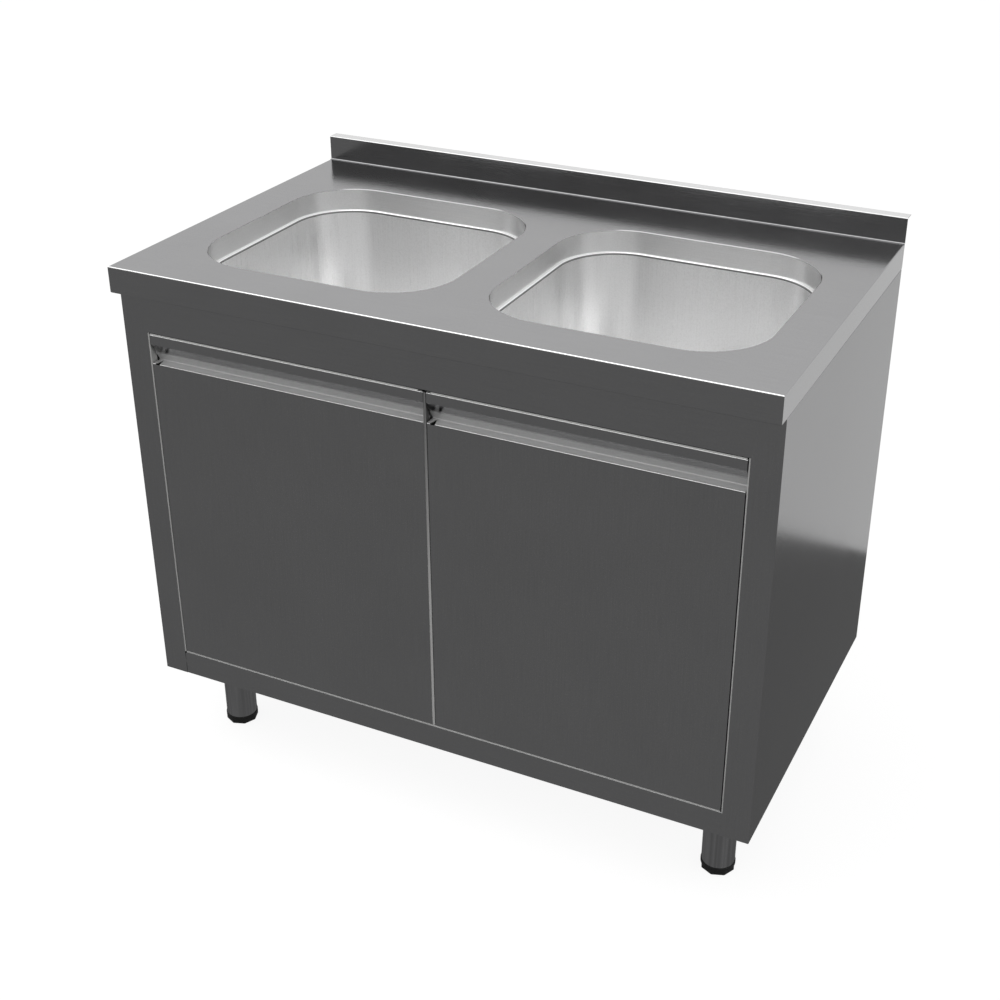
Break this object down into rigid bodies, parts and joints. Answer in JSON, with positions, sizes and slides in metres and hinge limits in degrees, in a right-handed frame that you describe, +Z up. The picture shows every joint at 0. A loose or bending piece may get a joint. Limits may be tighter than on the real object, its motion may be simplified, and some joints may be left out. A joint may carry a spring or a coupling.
{
  "type": "kitchen sink unit",
  "caption": "Stainless steel sink cabinet with a folded worktop, square bowls, low rear upstand, hinged cupboard doors with folded finger pulls and levelling feet.",
  "frame": {"origin": "centre of the bounding box, at the floor", "axes": "+X to the right seen from the front, +Y from front to back, +Z up"},
  "size_m": [1, 0.62, 0.88],
  "materials": {
    "steel_brushed": "satin, fine vertical grain",
    "steel_plain": "mill finish",
    "steel_polished": "polished",
    "plastic_black": "matt",
    "nylon_white": "matt",
    "rubber_black": "matt",
    "magnet_dark": "matt"
  },
  "bodies": {
    "cabinet": {"back_panel": "steel_plain", "bearer_left": "steel_plain", "bearer_right": "steel_plain", "bottom_shelf": "steel_brushed", "bowl_left": "steel_brushed", "bowl_right": "steel_brushed", "catch_housings": "nylon_white", "catch_magnets": "magnet_dark", "leg_nuts": "steel_plain", "legs": "steel_brushed", "pivot_pins_bottom": "steel_plain", "pivot_pins_top": "steel_plain", "rear_apron": "steel_plain", "rear_rail": "steel_plain", "side_panel_left": "steel_brushed", "side_panel_right": "steel_brushed", "stiffener_front": "steel_plain", "stiffener_left": "steel_plain", "stiffener_middle": "steel_plain", "stiffener_rear": "steel_plain", "stiffener_right": "steel_plain", "top_rail": "steel_brushed", "waste_nuts": "plastic_black", "waste_seals": "rubber_black", "wastes": "steel_polished", "worktop": "steel_brushed"},
    "door_left": {"door_liner_left": "steel_brushed", "door_skin_left": "steel_brushed", "pivot_bushes_left": "nylon_white", "strike_plate_left": "steel_plain"},
    "door_right": {"door_liner_right": "steel_brushed", "door_skin_right": "steel_brushed", "pivot_bushes_right": "nylon_white", "strike_plate_right": "steel_plain"},
    "levelling_foot_front_left": {"foot_front_left": "plastic_black", "foot_stem_front_left": "steel_plain"},
    "levelling_foot_front_right": {"foot_front_right": "plastic_black", "foot_stem_front_right": "steel_plain"},
    "levelling_foot_rear_left": {"foot_rear_left": "plastic_black", "foot_stem_rear_left": "steel_plain"},
    "levelling_foot_rear_right": {"foot_rear_right": "plastic_black", "foot_stem_rear_right": "steel_plain"}
  },
  "joints": [
    {"name": "door_left_hinge", "type": "hinge", "parent": "cabinet", "child": "door_left", "pos_m": [-0.4395, -0.28, 0.46], "axis": [0, 0, -1], "range_deg": [0, 120]},
    {"name": "door_right_hinge", "type": "hinge", "parent": "cabinet", "child": "door_right", "pos_m": [0.4395, -0.28, 0.46], "axis": [0, 0, 1], "range_deg": [0, 120]},
    {"name": "foot_front_left_screw", "type": "slide", "parent": "cabinet", "child": "levelling_foot_front_left", "axis": [0, 0, -1], "range_m": [0, 0.04]},
    {"name": "foot_front_right_screw", "type": "slide", "parent": "cabinet", "child": "levelling_foot_front_right", "axis": [0, 0, -1], "range_m": [0, 0.04]},
    {"name": "foot_rear_left_screw", "type": "slide", "parent": "cabinet", "child": "levelling_foot_rear_left", "axis": [0, 0, -1], "range_m": [0, 0.04]},
    {"name": "foot_rear_right_screw", "type": "slide", "parent": "cabinet", "child": "levelling_foot_rear_right", "axis": [0, 0, -1], "range_m": [0, 0.04]}
  ]
}
